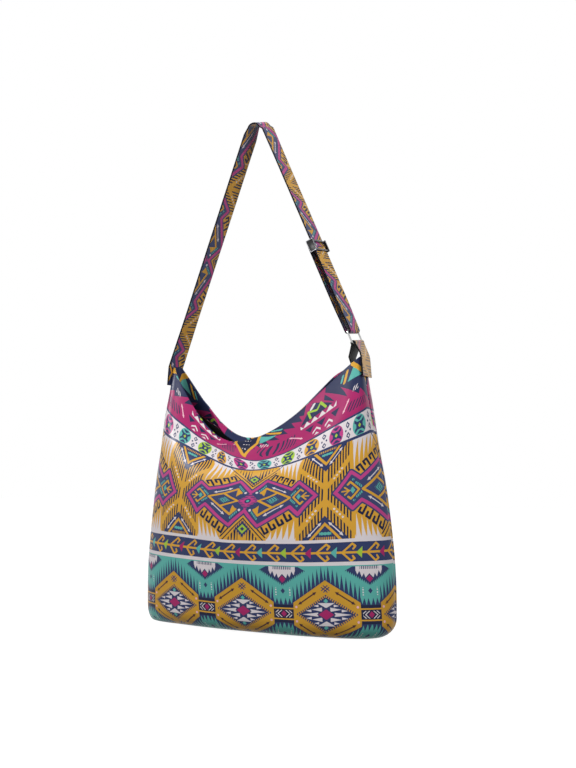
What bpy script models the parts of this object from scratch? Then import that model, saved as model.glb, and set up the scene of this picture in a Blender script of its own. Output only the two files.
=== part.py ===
"""Slouchy printed hobo bag with an adjustable shoulder strap, drawn hanging from its strap.

Metres, +Z up. X runs along the bag's width, with the buckle side at +X. Y runs through its depth,
with the front at -Y. The origin is the middle of the flat base.
"""
import math

import bmesh
import bpy
import numpy as np
from mathutils import Matrix, Vector

# Bag body, with the height of each side seam
SEAM_HEIGHT = 0.365
BASE_EDGE_RADIUS = 0.024
SEAM_GAP = 0.0004
PANEL_THICKNESS = 0.0014

# Half width and half depth of the bag's horizontal section
BASE_HALF_WIDTH = 0.183
TOP_HALF_WIDTH = 0.145
BULGE_HALF_DEPTH = 0.078

# At shares of the seam's height: the share of the way from the base's width to the top's, the
# share of the bulge's depth, and the squareness, where 2 is an ellipse and more is boxier
WIDTH_PROFILE = ((0, 0), (0.22, 0), (0.49, 0.24), (0.71, 0.62), (0.90, 0.92), (1, 1))
DEPTH_PROFILE = ((0, 0.77), (0.55, 1), (0.68, 0.92), (0.82, 0.62), (0.92, 0.385), (1, 0.256))
SQUARENESS = ((0, 2.4), (0.16, 2.22), (0.55, 2.05), (0.74, 2.64), (0.90, 4.7), (1, 5.0))

# Slack of the mouth between the two corners that the strap pulls up: its lowest place runs from
# the first share across the panel to the second, and the powers shape its left and right slopes
SLACK_START = 0.165
SLACK_SPAN = 0.92
SAG_POWER = 1.3
FRONT_SAG = 0.111
FRONT_LOWEST = (-0.02, -0.25)
FRONT_SLOPES = (1.0, 1.1)
BACK_SAG = 0.105
BACK_LOWEST = (0.0, -0.20)
BACK_SLOPES = (1.05, 1.6)

# Rim of the back panel, which flops forward between a left and a right share across the panel
FLOP_LEFT = (-0.72, -0.42)
FLOP_RIGHT = (0.35, 0.80)
FLOP_LENGTH = 0.020
FLOP_RADIUS = 0.0042
FLOP_ANGLE = math.radians(145)

# Lining, which stops below the rim, where the printed edge is turned in
LINING_THICKNESS = 0.0008
LINING_GAP = 0.0006
LINING_RIM_ROWS = 1

# Strap, 40 mm wide, with its outer layer sewn to the left seam
STRAP_WIDTH = 0.040
STRAP_THICKNESS = 0.0018
STRAP_APEX = Vector((0.009, -0.045, 0.7110))
APEX_TILT = math.radians(14)
STRAP_APEX_RADIUS = 0.009
STRAP_SEWN_LENGTH = 0.028
SEWN_END_TURN = 0.3
RUN_TWIST = math.radians(6)
TWIST_LENGTH = 0.045
CONTACT_GAP = 0.0003

# Ring of round wire at the top of the right seam
RING_WIRE_RADIUS = 0.0012
RING_PITCH = 0.0180
RING_SIDE_PLAY = 0.0010
RING_CORNER_RADIUS = 0.0035
RING_RISE = 0.0205
RING_SETBACK = 0.0095
RING_TWIST = math.radians(3)
LAYER_OFFSET = 0.0036

# Tab that ties the ring to the right seam
TAB_WIDTH = 0.038
TAB_INNER_WIDTH = 0.026
TAB_THICKNESS = 0.0020
TAB_SEWN_LENGTH = 0.026
TAB_PLAY = 0.0004
TAB_WRAP = (math.radians(-38), math.radians(208))
TAB_SHOULDER = Vector((-0.0012, 0, 0.0050))

# Inner end of the tab: distance in from the seam's wall, and drop below the rim
TAB_INNER_PATH = ((0.0145, 0.0), (0.0105, 0.012), (0.0040, 0.022), (0.0012, 0.0285))

# Slider on the right run of the strap
SLIDER_PLACE = 0.125
SLIDER_BAR_SPACING = 0.0130
SLIDER_BAR_RADIUS = 0.0012
SLIDER_PLATE_THICKNESS = 0.0018
SLIDER_PLATE_OVERHANG = 0.0020
SLIDER_SIDE_PLAY = 0.0010
SLIDER_FACE_PLAY = 0.0004
STRAP_END_LENGTH = 0.020

# Sewn layer of the strap's end: share of the length, and share of the way in to the other layer
STRAP_END_LAYER = ((0.35, 0.5), (0.6, 1.0), (0.95, 1.0))

GRID_ACROSS = 34
WALL_ROWS = 12
RIM_ROWS = 7
ARC_STEPS = 8


def clear_scene():
    for thing in list(bpy.data.objects):
        bpy.data.objects.remove(thing, do_unlink=True)


def smooth_through(keys, x):
    """Value at x of a smooth curve through the (place, value) keys."""
    places, values = (np.array(column, float) for column in zip(*keys))
    slopes = np.gradient(values, places)
    x = min(max(x, places[0]), places[-1])
    i = min(int(np.searchsorted(places, x, side="right")) - 1, len(places) - 2)
    step = places[i + 1] - places[i]
    q = (x - places[i]) / step
    start = (1 + 2 * q) * (1 - q) ** 2 * values[i] + q * (1 - q) ** 2 * step * slopes[i]
    end = q * q * (3 - 2 * q) * values[i + 1] - q * q * (1 - q) * step * slopes[i + 1]
    return float(start + end)


def ease(x):
    x = np.clip(x, 0.0, 1.0)
    return x * x * (3 - 2 * x)


def half_width(height):
    share = smooth_through(WIDTH_PROFILE, height / SEAM_HEIGHT)
    return BASE_HALF_WIDTH + (TOP_HALF_WIDTH - BASE_HALF_WIDTH) * share


def half_depth(height):
    return BULGE_HALF_DEPTH * smooth_through(DEPTH_PROFILE, height / SEAM_HEIGHT)


def squareness(height):
    return smooth_through(SQUARENESS, height / SEAM_HEIGHT)


def half_section(width, depth, power, across):
    """Points of half a rounded section, from the left seam (-1) to the right seam (1)."""
    angle = np.linspace(0, math.pi, 721)
    x = -width * np.sign(np.cos(angle)) * np.abs(np.cos(angle)) ** (2 / power)
    y = depth * np.abs(np.sin(angle)) ** (2 / power)
    run = np.concatenate([[0], np.cumsum(np.hypot(np.diff(x), np.diff(y)))])
    along = (across + 1) / 2 * run[-1]
    return np.interp(along, run, x), np.interp(along, run, y)


def dip(across, lowest, slopes):
    """1 at the lowest place of the rim, falling to 0 short of both seams."""
    left = across < lowest
    end = np.where(left, -SLACK_SPAN, SLACK_SPAN)
    q = np.clip((across - lowest) / (end - lowest), 0, 1)
    return np.clip(np.cos(math.pi / 2 * q), 0, 1) ** np.where(left, *slopes)


def wall_row(side, height, inset, across):
    """One row of panel points at a height up the side seam; side is -1 in front and 1 behind."""
    x, y = half_section(half_width(height) - inset, half_depth(height) - inset, squareness(height), across)
    slack = np.clip((height - SLACK_START) / (SEAM_HEIGHT - SLACK_START), 0, 1)
    if side < 0:
        lowest = np.interp(ease(2 * slack - 1), (0, 1), FRONT_LOWEST)
        sag = FRONT_SAG * dip(across, lowest, FRONT_SLOPES)
    else:
        lowest = np.interp(slack, (0, 1), BACK_LOWEST)
        sag = (BACK_SAG + FLOP_RADIUS) * dip(across, lowest, BACK_SLOPES)
    z = height - sag * slack**SAG_POWER
    return np.stack([x, side * y, z], axis=1)


def flop_share(across):
    """How far the back rim flops over into the mouth, from 0 at the seams to 1."""
    left = ease(np.interp(across, FLOP_LEFT, (0, 1)))
    return left * ease(np.interp(across, FLOP_RIGHT, (1, 0)))


def flopped_row(below_rim, across):
    """Back panel points at a distance below the cut rim, which rolls forward in the middle."""
    length = FLOP_LENGTH * flop_share(across)
    rows = []
    for i, place in enumerate(across):
        below_crest = max(below_rim - length[i], 0)
        height = SEAM_HEIGHT - below_crest
        point = wall_row(1, height, 0, across)[i]
        rolled = max(length[i] - below_rim, 0)
        angle = min(rolled / FLOP_RADIUS, FLOP_ANGLE)
        straight = rolled - angle * FLOP_RADIUS
        point[1] -= FLOP_RADIUS * (1 - math.cos(angle)) + straight * math.sin(angle)
        point[2] += FLOP_RADIUS * math.sin(angle) + straight * math.cos(angle)
        rows.append(point)
    return np.array(rows)


def panel_rows(side, rim_rows):
    """Rows of one half of the bag's skin, from the middle of the base up to a row below the rim."""
    across = np.linspace(-1, 1, GRID_ACROSS + 1)
    rows = []
    for share in (0.0, 0.5):
        base = wall_row(side, 0, BASE_EDGE_RADIUS, across)
        base[:, 1] *= share
        rows.append(base)
    for angle in np.linspace(0, math.pi / 2, 5):
        height = BASE_EDGE_RADIUS * (1 - math.cos(angle))
        rows.append(wall_row(side, height, BASE_EDGE_RADIUS * (1 - math.sin(angle)), across))
    wall_top = SEAM_HEIGHT - 2 * FLOP_LENGTH
    for height in np.linspace(BASE_EDGE_RADIUS, wall_top, WALL_ROWS + 1)[1:]:
        rows.append(wall_row(side, height, 0, across))
    for height in np.linspace(wall_top, SEAM_HEIGHT, RIM_ROWS + 1)[1 : rim_rows + 1]:
        if side > 0:
            rows.append(flopped_row(SEAM_HEIGHT - height, across))
        else:
            rows.append(wall_row(side, height, 0, across))
    return rows


def sheet_mesh(rows):
    """Open sheet through rows of points."""
    mesh = bmesh.new()
    across, up = len(rows[0]) - 1, len(rows) - 1
    bmesh.ops.create_grid(mesh, x_segments=across, y_segments=up, size=0.5)
    for vertex in mesh.verts:
        column = round((vertex.co.x + 0.5) * across)
        row = round((vertex.co.y + 0.5) * up)
        vertex.co = rows[row][column]
    bmesh.ops.remove_doubles(mesh, verts=mesh.verts, dist=0.00005)
    return mesh


def material(name, color, roughness, metallic=0.0):
    finish = bpy.data.materials.new(name)
    finish.use_nodes = True
    shader = finish.node_tree.nodes["Principled BSDF"]
    shader.inputs["Base Color"].default_value = (*color, 1)
    shader.inputs["Roughness"].default_value = roughness
    shader.inputs["Metallic"].default_value = metallic
    return finish


def add_object(name, mesh, finish, collection):
    data = bpy.data.meshes.new(name)
    mesh.to_mesh(data)
    mesh.free()
    data.materials.append(finish)
    thing = bpy.data.objects.new(name, data)
    collection.objects.link(thing)
    return thing


def thicken(thing, thickness, offset):
    wall = thing.modifiers.new("wall", "SOLIDIFY")
    wall.thickness = thickness
    wall.offset = offset
    wall.use_even_offset = True
    wall.use_rim = True
    return wall


def face_out(mesh, side):
    """Turns an open front (-1) or back (1) sheet so that its faces look away from the bag."""
    mesh.normal_update()
    facing = sum(face.normal.y * face.calc_area() for face in mesh.faces)
    if facing * side < 0:
        bmesh.ops.reverse_faces(mesh, faces=mesh.faces)


def skin_mesh(rim_rows):
    """Open-topped outer surface of the whole bag, joined at the seams."""
    whole = bmesh.new()
    for side in (-1, 1):
        half = sheet_mesh(panel_rows(side, rim_rows))
        face_out(half, side)
        data = bpy.data.meshes.new("half")
        half.to_mesh(data)
        half.free()
        whole.from_mesh(data)
        bpy.data.meshes.remove(data)
    bmesh.ops.remove_doubles(whole, verts=whole.verts, dist=0.00005)
    return whole


def add_cutter(name, mesh, finish, cutters):
    cutter = add_object(name, mesh, finish, cutters)
    cutter.hide_render = True
    cutter.display_type = "WIRE"
    return cutter


def combine(thing, cutter, operation):
    step = thing.modifiers.new(cutter.name, "BOOLEAN")
    step.operation = operation
    step.solver = "EXACT"
    step.object = cutter


def add_panel(name, side, finish, collection, cutters):
    """One half of the skin: the other half is cut away at the side and base seams."""
    panel = add_object(name, skin_mesh(RIM_ROWS), finish, collection)
    thicken(panel, PANEL_THICKNESS, -1)
    block = 2 * SEAM_HEIGHT
    mesh = bmesh.new()
    middle = Vector((0, side * (SEAM_GAP - block / 2), SEAM_HEIGHT / 2))
    bmesh.ops.create_cube(mesh, size=block, matrix=Matrix.Translation(middle))
    combine(panel, add_cutter(f"{name}_cut", mesh, finish, cutters), "DIFFERENCE")
    return panel


def add_lining(finish, collection):
    """The loose bag inside, clear of the panels, with its edge below the turned-in rim."""
    inset = PANEL_THICKNESS + LINING_GAP
    lining = add_object("lining", skin_mesh(LINING_RIM_ROWS), finish, collection)
    thicken(lining, LINING_THICKNESS, -1 - 2 * inset / LINING_THICKNESS)
    return lining


class Frame:
    """A place on a band: its middle, the direction of its width, the way along it, and outwards."""

    def __init__(self, origin, along, across):
        self.origin = origin.copy()
        self.along = along.normalized()
        self.across = (across - self.along * across.dot(self.along)).normalized()
        self.out = self.across.cross(self.along)

    def turned(self, angle):
        """The same place with its width turned about the way along."""
        across = math.cos(angle) * self.across + math.sin(angle) * self.out
        return Frame(self.origin, self.along, across)

    def point(self, across, along, out):
        return self.origin + self.across * across + self.along * along + self.out * out

    def matrix(self):
        """Local X points outwards, local Y across and local Z along."""
        columns = Matrix((self.out, self.across, self.along)).transposed().to_4x4()
        return Matrix.Translation(self.origin) @ columns


def seam_point(side, height, outwards):
    return Vector((side * (half_width(height) + outwards), 0, height))


def ring_frame():
    """The ring's lower bar: its axis is across, and along points to the top bar."""
    origin = Vector((TOP_HALF_WIDTH - RING_SETBACK, 0, SEAM_HEIGHT + RING_RISE))
    return Frame(origin, STRAP_APEX - origin, Vector((0, 1, 0))).turned(RING_TWIST)


def run_frame():
    """The right run of the strap: the origin is the ring's top bar, along climbs to the apex."""
    ring = ring_frame()
    top_bar = ring.point(0, RING_PITCH, 0)
    untwisted = Frame(top_bar, STRAP_APEX - top_bar, Vector((0, 1, 0)))
    return untwisted.turned(RUN_TWIST)


def turn_at(distance):
    """Twist of the right run, counted from its straight part, at a distance above the top bar."""
    return (RING_TWIST - RUN_TWIST) * (1 - float(ease(distance / TWIST_LENGTH)))


def run_station(distance, out):
    """Middle and width direction of a layer of the right run."""
    frame = run_frame().turned(turn_at(distance))
    return frame.point(0, distance, out), frame.across


def band(name, stations, width, thickness, finish, collection):
    """Flat band through stations, each a middle and a width direction; width may be a list."""
    widths = width if isinstance(width, list) else [width] * len(stations)
    rows = []
    for (middle, across), full in zip(stations, widths):
        rows.append([middle + across * full * share for share in (-0.5, 0.0, 0.5)])
    thing = add_object(name, sheet_mesh(rows), finish, collection)
    thicken(thing, thickness, 0)
    return thing


def strap_left_points():
    """Middle of the sewn left end, up over the seam to the straight left run."""
    lift = CONTACT_GAP + STRAP_THICKNESS / 2
    points = []
    for share in np.linspace(0, 1, 4):
        height = SEAM_HEIGHT - STRAP_SEWN_LENGTH * (1 - share)
        points.append(seam_point(-1, height, lift))
    return points


def rounded_corner(before, corner, after, radius, steps):
    """Arc that joins two straight runs at a corner."""
    back, ahead = (before - corner).normalized(), (after - corner).normalized()
    half = back.angle(ahead) / 2
    centre = corner + (back + ahead).normalized() * radius / math.sin(half)
    start = corner + back * radius / math.tan(half) - centre
    end = corner + ahead * radius / math.tan(half) - centre
    axis = start.cross(end).normalized()
    turns = [Matrix.Rotation(start.angle(end) * i / steps, 3, axis) for i in range(steps + 1)]
    return [centre + turn @ start for turn in turns]


def strap_stations():
    """Left end, apex, right run and the turn round the ring's top bar."""
    left = strap_left_points()
    run = run_frame()
    foot = run.point(0, 0, LAYER_OFFSET)
    arc = rounded_corner(left[-1], STRAP_APEX, foot, STRAP_APEX_RADIUS, ARC_STEPS)
    lean = (arc[0] - left[-1]).cross(arc[-1] - arc[0]).normalized()
    lean = lean if lean.y > 0 else -lean
    stations = [(point, Vector((0, 1, 0))) for point in left[:-1]]
    stations.append((left[-1], Vector((0, 1, 0)).lerp(lean, SEWN_END_TURN).normalized()))
    for share in (0.25, 0.5, 0.75):
        stations.append((left[-1].lerp(arc[0], share), lean))
    peak = Matrix.Rotation(APEX_TILT, 3, "X") @ lean
    stations += [(point, peak) for point in arc]
    run_length = (arc[-1] - run.origin).dot(run.along)
    top = run.point(0, run_length, LAYER_OFFSET)
    straight_top = run_length - TWIST_LENGTH
    for share in (0.33, 0.67):
        distance = run_length + (straight_top - run_length) * share
        across = lean.lerp(run.across, float(ease(share))).normalized()
        middle = top.lerp(run.point(0, straight_top, LAYER_OFFSET), share)
        stations.append((middle, across))
    for distance in np.linspace(straight_top, TWIST_LENGTH, 4):
        stations.append(run_station(distance, LAYER_OFFSET))
    for distance in np.linspace(TWIST_LENGTH, 0, 4)[1:]:
        stations.append(run_station(distance, LAYER_OFFSET))
    ring_end = run.turned(turn_at(0))
    for angle in np.linspace(0, math.pi, ARC_STEPS + 1)[1:]:
        out, drop = LAYER_OFFSET * math.cos(angle), LAYER_OFFSET * math.sin(angle)
        stations.append((ring_end.point(0, -drop, out), ring_end.across))
    return stations


def slider_frame():
    run = run_frame()
    return Frame(run.point(0, SLIDER_PLACE, 0), run.along, run.across)


def slider_layers():
    """Distances out of the run's middle line: front bars, middle bar, and the sewn end's layers."""
    front_bar = LAYER_OFFSET + STRAP_THICKNESS / 2 + SLIDER_FACE_PLAY + SLIDER_BAR_RADIUS
    wrap_outer = LAYER_OFFSET - STRAP_THICKNESS - CONTACT_GAP
    middle_bar = wrap_outer - STRAP_THICKNESS / 2 - CONTACT_GAP - SLIDER_BAR_RADIUS
    return front_bar, middle_bar, wrap_outer


def return_stations():
    """The inner layer, from the ring's turn up to the sewn end at the slider."""
    _, middle_bar, wrap_outer = slider_layers()
    wrap_inner = 2 * middle_bar - wrap_outer
    top = SLIDER_PLACE - STRAP_END_LENGTH - CONTACT_GAP
    stations = []
    for share in np.linspace(0, 1, 7):
        distance = CONTACT_GAP + (top - CONTACT_GAP) * share
        out = -LAYER_OFFSET + (wrap_inner + LAYER_OFFSET) * share
        stations.append(run_station(distance, out))
    return stations


def strap_end_stations():
    """The end of the strap, folded round the slider's middle bar and sewn to itself."""
    _, middle_bar, wrap_outer = slider_layers()
    frame = slider_frame()
    radius = wrap_outer - middle_bar
    sewn = middle_bar - radius + STRAP_THICKNESS + CONTACT_GAP
    stations = [(frame.point(0, -STRAP_END_LENGTH, middle_bar - radius), frame.across)]
    stations.append((frame.point(0, 0, middle_bar - radius), frame.across))
    for angle in np.linspace(math.pi, 0, ARC_STEPS + 1)[1:]:
        out, rise = radius * math.cos(angle), radius * math.sin(angle)
        stations.append((frame.point(0, rise, middle_bar + out), frame.across))
    for drop, share in STRAP_END_LAYER:
        out = middle_bar + radius + (sewn - middle_bar - radius) * share
        stations.append((frame.point(0, -STRAP_END_LENGTH * drop, out), frame.across))
    return stations


def tab_stations():
    """The tab, from its sewn outer end over the ring's lower bar to its inner end, with widths."""
    lift = CONTACT_GAP + TAB_THICKNESS / 2
    ring = ring_frame()
    radius = RING_WIRE_RADIUS + TAB_PLAY + TAB_THICKNESS / 2
    upright = Vector((0, 1, 0))
    stations = []
    for share in np.linspace(0, 1, 4):
        height = SEAM_HEIGHT - TAB_SEWN_LENGTH * (1 - share)
        stations.append((seam_point(1, height, lift), upright))
    stations.append((seam_point(1, SEAM_HEIGHT, lift) + TAB_SHOULDER, upright))
    for angle in np.linspace(*TAB_WRAP, ARC_STEPS + 1):
        middle = ring.point(0, radius * math.sin(angle), radius * math.cos(angle))
        stations.append((middle, ring.across))
    inner_wall = TOP_HALF_WIDTH - PANEL_THICKNESS - lift
    for inwards, drop in TAB_INNER_PATH:
        stations.append((Vector((inner_wall - inwards, 0, SEAM_HEIGHT - drop)), upright))
    outer_count = len(stations) - len(TAB_INNER_PATH)
    widths = [TAB_WIDTH] * outer_count + [TAB_INNER_WIDTH] * len(TAB_INNER_PATH)
    return stations, widths


def add_ring(finish, collection):
    """Rectangular loop of round wire, drawn about its lower bar."""
    frame = ring_frame()
    half = STRAP_WIDTH / 2 + RING_SIDE_PLAY + RING_WIRE_RADIUS
    corner = RING_CORNER_RADIUS
    centres = [(half - corner, corner), (half - corner, RING_PITCH - corner)]
    centres += [(corner - half, RING_PITCH - corner), (corner - half, corner)]
    outline = []
    for (y, z), start in zip(centres, (-90, 0, 90, 180)):
        for step in range(5):
            angle = math.radians(start + 90 * step / 4)
            outline.append((y + corner * math.cos(angle), z + corner * math.sin(angle)))
    wire = bpy.data.curves.new("ring", "CURVE")
    wire.dimensions = "3D"
    wire.bevel_depth = RING_WIRE_RADIUS
    wire.bevel_resolution = 2
    wire.render_resolution_u = 0
    spline = wire.splines.new("POLY")
    spline.points.add(len(outline) - 1)
    for point, (y, z) in zip(spline.points, outline):
        point.co = (0, y, z, 1)
    spline.use_cyclic_u = True
    wire.materials.append(finish)
    ring = bpy.data.objects.new("ring", wire)
    ring.matrix_world = frame.matrix()
    collection.objects.link(ring)
    return ring


def slider_bar(length, along, out, frame):
    """Round bar along the slider's width."""
    mesh = bmesh.new()
    place = Matrix.Translation((out, 0, along)) @ Matrix.Rotation(math.pi / 2, 4, "X")
    bmesh.ops.create_cone(
        mesh,
        cap_ends=True,
        segments=12,
        radius1=SLIDER_BAR_RADIUS,
        radius2=SLIDER_BAR_RADIUS,
        depth=length,
        matrix=frame.matrix() @ place,
    )
    return mesh


def add_slider(finish, collection, cutters):
    """Two end plates joined by two front bars and, behind the strap, a middle bar."""
    frame = slider_frame()
    front_bar, middle_bar, _ = slider_layers()
    half = STRAP_WIDTH / 2 + SLIDER_SIDE_PLAY + SLIDER_PLATE_THICKNESS / 2
    low = middle_bar - SLIDER_PLATE_OVERHANG
    high = front_bar + SLIDER_PLATE_OVERHANG
    tall = SLIDER_BAR_SPACING + 2 * SLIDER_PLATE_OVERHANG
    mesh = bmesh.new()
    for side in (-1, 1):
        place = Matrix.Translation(((low + high) / 2, side * half, 0))
        size = Matrix.Diagonal((high - low, SLIDER_PLATE_THICKNESS, tall, 1))
        bmesh.ops.create_cube(mesh, size=1, matrix=frame.matrix() @ place @ size)
    slider = add_object("slider", mesh, finish, collection)
    rounding = slider.modifiers.new("edges", "BEVEL")
    rounding.width = 0.25 * SLIDER_PLATE_THICKNESS
    rounding.segments = 2
    bars = [(SLIDER_BAR_SPACING / 2, front_bar), (-SLIDER_BAR_SPACING / 2, front_bar), (0, middle_bar)]
    for number, (along, out) in enumerate(bars):
        bar = slider_bar(2 * half, along, out, frame)
        combine(slider, add_cutter(f"slider_bar_{number}", bar, finish, cutters), "UNION")
    return slider


def build():
    clear_scene()
    bag = bpy.data.collections.new("hobo_bag")
    cutters = bpy.data.collections.new("cutters")
    for collection in (bag, cutters):
        bpy.context.scene.collection.children.link(collection)
    printed = material("printed_leather", (0.55, 0.24, 0.22), 0.42)
    strap_print = material("printed_strap", (0.50, 0.26, 0.18), 0.42)
    black = material("black_lining", (0.012, 0.012, 0.014), 0.75)
    metal = material("ring_metal", (0.62, 0.62, 0.64), 0.28, 1.0)
    dark_metal = material("slider_metal", (0.10, 0.10, 0.11), 0.32, 1.0)

    add_panel("front_panel", -1, printed, bag, cutters)
    add_panel("back_panel", 1, printed, bag, cutters)
    add_lining(black, bag)
    band("strap", strap_stations(), STRAP_WIDTH, STRAP_THICKNESS, strap_print, bag)
    band("strap_return", return_stations(), STRAP_WIDTH, STRAP_THICKNESS, strap_print, bag)
    band("strap_end", strap_end_stations(), STRAP_WIDTH, STRAP_THICKNESS, strap_print, bag)
    tab, tab_widths = tab_stations()
    band("ring_tab", tab, tab_widths, TAB_THICKNESS, strap_print, bag)
    add_ring(metal, bag)
    add_slider(dark_metal, bag, cutters)


build()
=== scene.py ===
import math

import bmesh
import bpy
import numpy as np
from mathutils import Matrix, Vector


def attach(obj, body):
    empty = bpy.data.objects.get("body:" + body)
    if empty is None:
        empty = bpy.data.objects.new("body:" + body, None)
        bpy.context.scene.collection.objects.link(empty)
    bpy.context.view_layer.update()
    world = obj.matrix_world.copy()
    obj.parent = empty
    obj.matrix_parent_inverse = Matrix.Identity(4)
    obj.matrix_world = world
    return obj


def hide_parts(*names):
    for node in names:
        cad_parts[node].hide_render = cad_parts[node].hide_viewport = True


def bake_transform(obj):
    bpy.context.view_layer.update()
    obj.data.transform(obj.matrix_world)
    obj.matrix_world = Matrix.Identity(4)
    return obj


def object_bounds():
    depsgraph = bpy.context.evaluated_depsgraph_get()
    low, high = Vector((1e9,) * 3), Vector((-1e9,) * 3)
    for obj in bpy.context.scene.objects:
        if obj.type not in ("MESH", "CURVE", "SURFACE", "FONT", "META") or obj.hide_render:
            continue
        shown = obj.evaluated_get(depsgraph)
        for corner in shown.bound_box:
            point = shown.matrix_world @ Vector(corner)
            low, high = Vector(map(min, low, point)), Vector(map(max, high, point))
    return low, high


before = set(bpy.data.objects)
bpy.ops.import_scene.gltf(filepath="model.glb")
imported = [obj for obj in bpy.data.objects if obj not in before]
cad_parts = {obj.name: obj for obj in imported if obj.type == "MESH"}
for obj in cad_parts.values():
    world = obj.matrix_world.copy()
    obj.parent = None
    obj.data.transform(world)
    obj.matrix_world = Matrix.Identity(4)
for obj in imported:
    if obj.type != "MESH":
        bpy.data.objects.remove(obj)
cadBox = [[float(x) for x in corner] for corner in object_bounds()]

# Bag body, with the frame's own sizes in metres
bag = {
    "seamHeight": 0.365,
    "baseRadius": 0.024,
    "cornerFill": 0.7,
    "cornerSpan": -0.6,
    "baseHalfWidth": 0.183,
    "topHalfWidth": 0.145,
    "bulgeHalfDepth": 0.078,
    "widthProfile": ((0, 0), (0.22, 0), (0.49, 0.24), (0.71, 0.62), (0.90, 0.92), (1, 1)),
    "depthProfile": ((0, 0.77), (0.55, 1), (0.68, 0.92), (0.82, 0.62), (0.92, 0.385), (1, 0.256)),
    "squareness": ((0, 2.4), (0.16, 2.22), (0.55, 2.05), (0.74, 2.64), (0.90, 4.7), (1, 5.0)),
    "slackStart": 0.165,
    "slackSpan": 0.92,
    "sagPower": 1.3,
    "frontSag": 0.111,
    "frontLowest": (-0.02, -0.25),
    "frontSlopes": (1.0, 1.1),
    "backSag": 0.105,
    "backLowest": (0.0, -0.20),
    "backSlopes": (1.05, 1.6),
    "flopLeft": (-0.72, -0.42),
    "flopRight": (0.35, 0.80),
    "flopLength": 0.020,
    "flopRadius": 0.0042,
    "flopAngle": math.radians(145),
    "wall": 0.0022,  # outer leather, turned-in facing and what lies between
    "seamGap": 0.0003,
    "seamPinch": 0.0016,
    "edgeRounding": 0.0009,
    "sectionSteps": 720,
    "columns": 150,
    "baseRows": 5,
    "edgeRows": 8,
    "wallRows": 60,
    "rimRows": 26,
}

printRepeat = 0.1115  # width of one repeat of the print
weldDistance = 0.00005  # vertices nearer than this are joined


def smoothCurve(places, values, x):
    places, values = np.array(places, float), np.array(values, float)
    slopes = np.gradient(values, places)
    x = np.clip(x, places[0], places[-1])
    i = np.clip(np.searchsorted(places, x, side="right") - 1, 0, len(places) - 2)
    step = places[i + 1] - places[i]
    q = (x - places[i]) / step
    start = (1 + 2 * q) * (1 - q) ** 2 * values[i] + q * (1 - q) ** 2 * step * slopes[i]
    return start + q * q * (3 - 2 * q) * values[i + 1] - q * q * (1 - q) * step * slopes[i + 1]


def smoothThrough(keys, x):
    return float(smoothCurve(*zip(*keys), x))


def ease(x):
    x = np.clip(x, 0.0, 1.0)
    return x * x * (3 - 2 * x)


def halfWidth(height):
    share = smoothThrough(bag["widthProfile"], height / bag["seamHeight"])
    return bag["baseHalfWidth"] + (bag["topHalfWidth"] - bag["baseHalfWidth"]) * share


# Half of the bag's level section, from the left seam (-1) to the right (1), and its length
def halfSection(height, inset, across):
    share = height / bag["seamHeight"]
    width = halfWidth(height) - inset
    depth = bag["bulgeHalfDepth"] * smoothThrough(bag["depthProfile"], share) - inset
    power = smoothThrough(bag["squareness"], share)
    angle = np.linspace(0, math.pi, bag["sectionSteps"] + 1)
    flat, tall = np.cos(angle), np.abs(np.sin(angle))
    x = -width * np.sign(flat) * np.abs(flat) ** (2 / power)
    y = depth * tall ** (2 / power)
    run = np.concatenate([[0], np.cumsum(np.hypot(np.diff(x), np.diff(y)))])
    along = (across + 1) / 2 * run[-1]
    return np.interp(along, run, x), np.interp(along, run, y), run[-1]


# 1 at the lowest place of the rim, falling to 0 short of both seams
def dip(across, lowest, slopes):
    left = across < lowest
    end = np.where(left, -bag["slackSpan"], bag["slackSpan"])
    q = np.clip((across - lowest) / (end - lowest), 0, 1)
    return np.clip(np.cos(math.pi / 2 * q), 0, 1) ** np.where(left, *slopes)


def wallRow(side, height, inset, across):
    x, y, _ = halfSection(height, inset, across)
    slack = np.clip((height - bag["slackStart"]) / (bag["seamHeight"] - bag["slackStart"]), 0, 1)
    if side < 0:
        lowest = np.interp(ease(2 * slack - 1), (0, 1), bag["frontLowest"])
        sag = bag["frontSag"] * dip(across, lowest, bag["frontSlopes"])
    else:
        lowest = np.interp(slack, (0, 1), bag["backLowest"])
        sag = (bag["backSag"] + bag["flopRadius"]) * dip(across, lowest, bag["backSlopes"])
    return np.stack([x, side * y, height - sag * slack ** bag["sagPower"]], axis=1)


# The back rim rolls forward into the mouth, where the bag hangs slack
def floppedRow(belowRim, across):
    share = ease(np.interp(across, bag["flopLeft"], (0, 1)))
    share = share * ease(np.interp(across, bag["flopRight"], (1, 0)))
    radius, row = bag["flopRadius"], []
    for i, length in enumerate(bag["flopLength"] * share):
        height = bag["seamHeight"] - max(belowRim - length, 0)
        point = wallRow(1, height, 0, across[i : i + 1])[0]
        rolled = max(length - belowRim, 0)
        angle = min(rolled / radius, bag["flopAngle"])
        straight = rolled - angle * radius
        point[1] -= radius * (1 - math.cos(angle)) + straight * math.sin(angle)
        point[2] += radius * math.sin(angle) + straight * math.cos(angle)
        row.append(point)
    return np.array(row)


# The base's edge is tighter at the left corner
def edgeRow(side, height, inset, across):
    share = ease(np.interp(across, (-1, bag["cornerSpan"]), (1, 0))) * bag["cornerFill"]
    loose, tight = wallRow(side, height, inset, across), wallRow(side, height, 0, across)
    return loose + (tight - loose) * share[:, None]


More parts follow.
